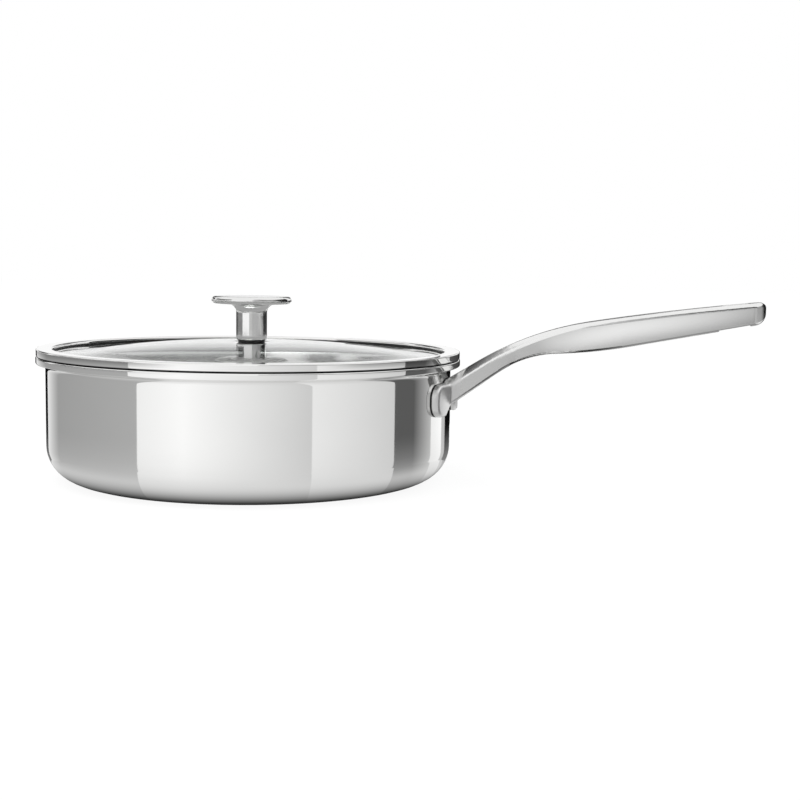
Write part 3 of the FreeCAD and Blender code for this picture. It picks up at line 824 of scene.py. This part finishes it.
wallForm = {
    "height": 77 * mm,
    "run": 58 * mm,
    "common": 0.72,         # tone that all flags fade to near the floor
    "fadeHeight": 30 * mm,
    "fadeShare": 0.3,       # share of the common tone at a flag's foot
    "floorShare": 0.72,     # and on the floor that the base corner shows
    "mixTilt": (4, 26),     # degrees down the corner over which the share rises
    "dimTilt": (20, 67),    # and over which the floor falls into shadow
    "lowestTilt": 76,
    "shadow": 0.04,
    "browHeight": 67 * mm,
    "browShare": 0.5,       # how far the flags at the sides darken at the top
    "browTurn": (14, 30),
    "apronHeight": 0.5 * mm,
    "apronEnd": 98 * mm,
    "columns": 24,
    "rows": 45,
    "apronRows": 40,
}


# a flag that shows on the wall between two angles from the camera's side: its edges stand on the wall's
# mirror rays, and its tone runs from the first edge to the second
def wallFlag(name, fromAngle, toAngle, toneA, toneB, form=wallForm):
    turn = np.linspace(fromAngle, toAngle, form["columns"])[:, None]
    out = outwards(turn)
    tone = np.linspace(toneA, toneB, form["columns"])[:, None]
    foot = panForm["wall"] * out
    base = foot + mirrored(foot + eye * upright, out) * form["run"] * (1, 1, 0)
    height = np.linspace(0, form["height"], form["rows"])
    share = form["fadeShare"] * (1 - eased(height, (0, form["fadeHeight"])))
    brow = eased(height, (form["browHeight"], form["height"])) * eased(np.abs(turn), form["browTurn"])
    shown = (tone * (1 - share) + form["common"] * share) * (1 - form["browShare"] * brow)
    flag(name, base + height[:, None] * upright, shown)
    floorApron(name + "Apron", out, base, tone, form)


# an apron carries a wall flag on to where the mirror rays from the base corner meet the floor, mixed with
# the common tone and falling into shadow with the corner's tilt
def floorApron(name, out, base, tone, form):
    degrees = np.linspace(form["mixTilt"][0], form["lowestTilt"], form["apronRows"])
    tilt = np.radians(degrees)[:, None]
    normal = np.cos(tilt) * out - np.sin(tilt) * upright
    corner = (panForm["wall"] - panForm["corner"]) * out + panForm["corner"] * (upright + normal)
    ray = mirrored(corner, normal)
    run = (form["apronHeight"] - corner[..., 2:]) / ray[..., 2:]
    run = np.minimum(run, form["run"] / np.linalg.norm(ray[..., :2], axis=-1, keepdims=True))
    flat = np.concatenate([base, corner + ray * run, form["apronEnd"] * out], 1)
    flat[..., 2] = form["apronHeight"]
    degrees = np.concatenate([degrees[:1], degrees, degrees[-1:]])
    share = form["fadeShare"] + (form["floorShare"] - form["fadeShare"]) * eased(degrees, form["mixTilt"])
    lit = 1 - (1 - form["shadow"]) * eased(degrees, form["dimTilt"])
    flag(name, flat, (tone * (1 - share) + form["common"] * share) * lit, faces=upright)


# a large flag round the set, between two angles from the camera's side and two heights
def farFlag(name, fromAngle, toAngle, lowest, highest, tone, reach=0.9):
    turn = np.linspace(fromAngle, toAngle, 121)[:, None]
    height = np.linspace(lowest, highest, 28)
    flag(name, reach * outwards(turn) + height[:, None] * upright, tone, (turn, height))


# a level flag, between two angles from the camera's side and two distances from the axis
def levelFlag(name, fromAngle, toAngle, nearest, farthest, height, tone):
    turn = np.linspace(fromAngle, toAngle, 49)[:, None]
    reach = np.linspace(nearest, farthest, 9)[:, None]
    flag(name, reach * outwards(turn) + height * upright, tone, faces=upright)


# a flat card that starts at a corner and runs along one side (u) and across (v)
def flatCard(name, start, along, across, tone):
    u = np.linspace(0, 1, 24)[:, None]
    v = np.linspace(0, 1, 9)[None]
    points = np.array(start) + u[..., None] * np.array(along) + v[..., None] * np.array(across)
    flag(name, points, tone, (u, v), handleMiddle)


paleFloor(floorForm)
surround()
softLamp(lampForm)

# what the wall shows, in degrees from the camera's side and tones at both edges
wallFlags = {
    "blackLeft": (-80, -73, 0.004, 0.004),
    "edgeLeft": (-73, -62, 0.9, 0.37),
    "greyLeft": (-62, -29.6, 0.37, 0.45),
    "whiteLeft": (-29.6, -17, 0.97, 1.08),
    "paleFront": (-17, 15.2, 1.08, 0.66),
    "paleRight": (15.2, 40, 0.9, 0.68),
    "darkRight": (40, 48, 0.11, 0.11),
    "dimRight": (48, 57, 0.12, 0.55),
    "whiteRight": (57, 65, 0.95, 1.1),
    "greyRight": (65, 68.6, 0.6, 0.52),
    "blackRight": (68.6, 78, 0.004, 0.004),
}
for name, edges in wallFlags.items():
    wallFlag(name, *edges)

# what the glass shows behind the pan: pale low down, dark above, with soft bars (angle, half width, tone)
backForm = {
    "fall": (0.16, 0.32),
    "tones": (0.95, 0.04),
    "barRise": (0.26, 0.34),
    "bars": ((176.4, 2.0, 0.95), (173.1, 0.9, 0.12), (170.4, 1.1, 1.0), (195.2, 0.5, 0.9)),
}


def backTone(turn, height):
    tone = np.interp(height, backForm["fall"], backForm["tones"])
    for middle, width, barTone in backForm["bars"]:
        share = np.exp(-((turn - middle) / width) ** 4) * eased(height, backForm["barRise"])
        tone = tone * (1 - share) + barTone * share
    return tone


# panels at both sides, for the knob's ends, the ring's bends and the tip: the left one is dark, with a pale
# band that the ring's inner wall finds by way of the glass; the right one darkens away from the camera
panelForm = {
    "leftDark": 0.03,
    "leftBand": 0.9,
    "bandStart": (0.11, 0.13),
    "bandEnd": (0.2, 0.23),
    "rightPale": 0.36,
    "rightFall": 0.35,
    "fallTurn": (60, 86),
}


def leftTone(turn, height):
    band = eased(height, panelForm["bandStart"]) * (1 - eased(height, panelForm["bandEnd"]))
    return panelForm["leftDark"] + panelForm["leftBand"] * band


def rightTone(turn, height):
    return panelForm["rightPale"] - panelForm["rightFall"] * eased(turn, panelForm["fallTurn"])


# what the knob, the ring and the glass show: angles, heights in metres, tone and, if nearer, distance
farFlags = {
    "crescentLeft": (196, 228, 0.17, 0.38, 0.01),
    "streakLeft": (258, 290, 0.15, 0.38, 0.3),
    "dimBack": (150, 210, 0.16, 0.7, backTone),
    "stemRight": (96, 172, 0.0, 0.1, 0.05),
    "stemFront": (-18, 96, 0.0, 0.085, 0.56),
    "stemWhite": (-71, -18, 0.0, 0.085, 1.15),
    "stemLeft": (-123, -71, 0.0, 0.085, 0.25),
    "stemFarLeft": (-170, -123, 0.0, 0.085, 0.08),
    "leftPanel": (-124, -60, 0.1, 0.5, leftTone),
    "rightPanel": (28, 86, 0.07, 0.5, rightTone, 0.75),
    "rightDark": (86, 125, 0.064, 0.5, 0.01, 0.75),
}
for name, sizes in farFlags.items():
    farFlag(name, *sizes)

# a dark floor for the lower half of the knob's rim, and a grey collar over the glass for the knob's flare;
# the collar stops just short of a full turn, behind the knob
levelFlags = {
    "darkFloor": (82, 154, 0.3, 0.85, mm, 0.01),
    "flareCollar": (180, 539.8, 14 * mm, 50 * mm, topOf("lid_glass") + 0.6 * mm, 0.42),
}
for name, sizes in levelFlags.items():
    levelFlag(name, *sizes)

# the grip's glow: a swell along it that fades at the tip, gains towards the tip, and is crowned across
gripForm = {
    "root": 0.54,
    "swell": 0.28,
    "skew": 0.6,
    "tipFade": 0.2,
    "gain": 1.14,
    "gainRise": 0.2,
    "crown": 0.45,
    "crownMiddle": 0.55,
}


def gripTone(u, v):
    along = gripForm["root"] + gripForm["swell"] * np.sin(np.pi * u ** gripForm["skew"])
    along = along - gripForm["tipFade"] * u ** 4
    across = 1 - gripForm["crown"] * (2 * (v - gripForm["crownMiddle"])) ** 2
    return along * (gripForm["gain"] + gripForm["gainRise"] * u) * across


# a tone that eases along a card from one value to another between two shares of its length
def fading(first, last, ends):
    return lambda u, v: first + (last - first) * eased(u, ends)


# what the handle shows: glows on its side, a line under its crest, dark below and behind;
# each card's corner, its two sides and its tone
handleCards = {
    "handleFront": ((0.11, -0.28, 0.0), (0.37, 0, 0), (0, 0, 0.2), 0.5),
    "crestLine": ((0.14, -0.28, 0.205), (0.34, 0, 0), (0, 0, 0.17), fading(0.6, 0.05, (0, 0.5))),
    "rootShade": ((0.105, -0.09, 0.085), (0, 0.16, 0), (0, 0, 0.08), lambda u, v: 0.01 + 0.5 * v ** 2),
    "armGlow": ((0.118, -0.05, 0.024), (0.05, 0, 0.0312), (0, 0, 0.036), 0.54),
    "gripGlow": ((0.168, -0.05, 0.0755), (0.14, 0, 0.0245), (0, 0, 0.0165), gripTone),
    "armBack": ((0.128, 0.03, 0.06), (0.062, 0, 0.034), (0, 0, 0.016), lambda u, v: 0.05 + 0.15 * u),
    "gripBack": ((0.19, 0.03, 0.092), (0.115, 0, 0.0165), (0, 0, 0.012), 0.22),
    "underFront": ((0.15, -0.27, 0.004), (0.25, 0, 0), (0, 0.16, 0), fading(0.005, 0.305, (0.2, 0.45))),
    "underSide": ((0.175, -0.11, 0.004), (0.225, 0, 0), (0, 0.13, 0), fading(0.005, 0.305, (0.05, 0.35))),
}
for name, card in handleCards.items():
    flatCard(name, *card)
print("studio set")

bpy.context.scene.view_settings.view_transform = "Standard"
